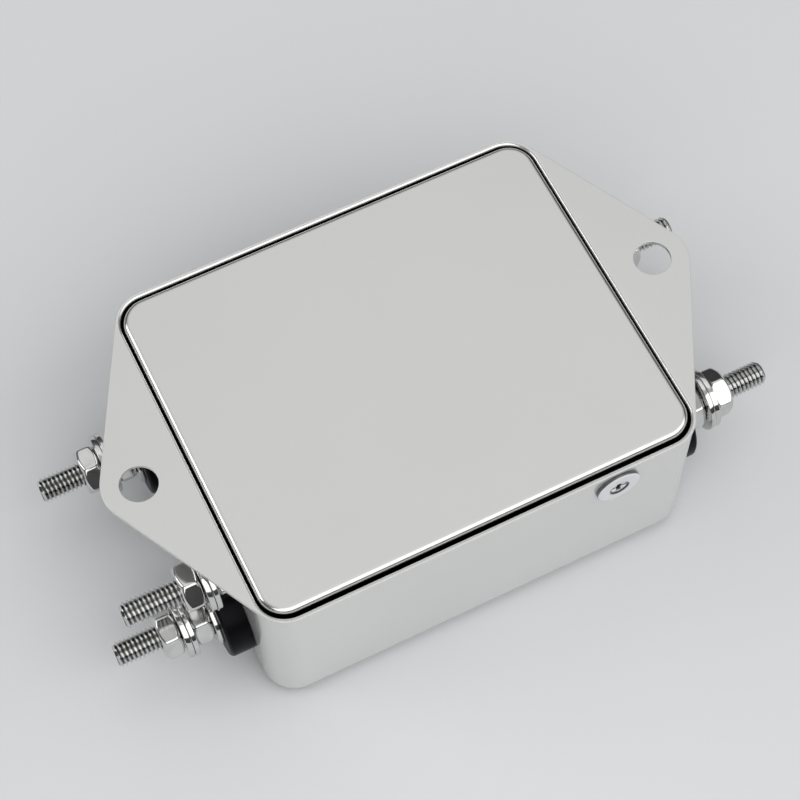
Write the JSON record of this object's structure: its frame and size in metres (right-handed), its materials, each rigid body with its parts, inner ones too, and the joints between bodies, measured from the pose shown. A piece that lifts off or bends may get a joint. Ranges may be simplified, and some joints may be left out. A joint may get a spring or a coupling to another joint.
{
  "type": "line filter",
  "caption": "Chassis line filter in a drawn metal can with diamond mounting ears, a sunk cover and threaded stud terminals on both ends.",
  "frame": {"origin": "centre of the can's closed flat face", "axes": "+X along the can from the end with the earth stud to the other end, +Z from the closed face to the cover and ears, +Y completes the right-handed set"},
  "size_m": [0.1104, 0.06, 0.0306],
  "materials": {
    "nickel_sheet": "satin nickel-plated steel sheet",
    "bright_plating": "bright nickel plating",
    "black_moulding": "glossy black moulding",
    "insulating_film": "matte",
    "board_laminate": "glass-fibre laminate",
    "ferrite": "matte sintered ferrite",
    "enamelled_wire": "enamelled copper wire",
    "capacitor_box": "plain moulded box",
    "capacitor_disc": "dipped coating",
    "resistor_coat": "lacquer",
    "copper_strip": "tinned copper strip"
  },
  "bodies": {
    "root": {"can": "nickel_sheet", "cover_plate": "nickel_sheet", "cover_screws": "bright_plating", "seat_washers": "bright_plating", "clamp_nuts": "bright_plating", "flat_washers": "bright_plating", "spring_washers": "bright_plating", "terminal_nuts": "bright_plating", "line_stud_near": "bright_plating", "line_stud_far": "bright_plating", "load_stud_near": "bright_plating", "load_stud_far": "bright_plating", "earth_stud": "bright_plating", "line_bushing_near": "black_moulding", "line_bushing_far": "black_moulding", "load_bushing_near": "black_moulding", "load_bushing_far": "black_moulding", "line_inner_ring_near": "black_moulding", "line_inner_ring_far": "black_moulding", "load_inner_ring_near": "black_moulding", "load_inner_ring_far": "black_moulding", "insulating_sheet": "insulating_film", "choke_divider": "insulating_film", "board_posts": "insulating_film", "circuit_board": "board_laminate", "choke_core": "ferrite", "line_winding": "enamelled_wire", "neutral_winding": "enamelled_wire", "line_x_capacitor": "capacitor_box", "load_x_capacitor": "capacitor_box", "line_y_capacitor": "capacitor_disc", "neutral_y_capacitor": "capacitor_disc", "bleed_resistor": "resistor_coat", "line_tag_near": "copper_strip", "line_tag_far": "copper_strip", "load_tag_near": "copper_strip", "load_tag_far": "copper_strip", "earth_tag": "copper_strip"}
  },
  "joints": []
}
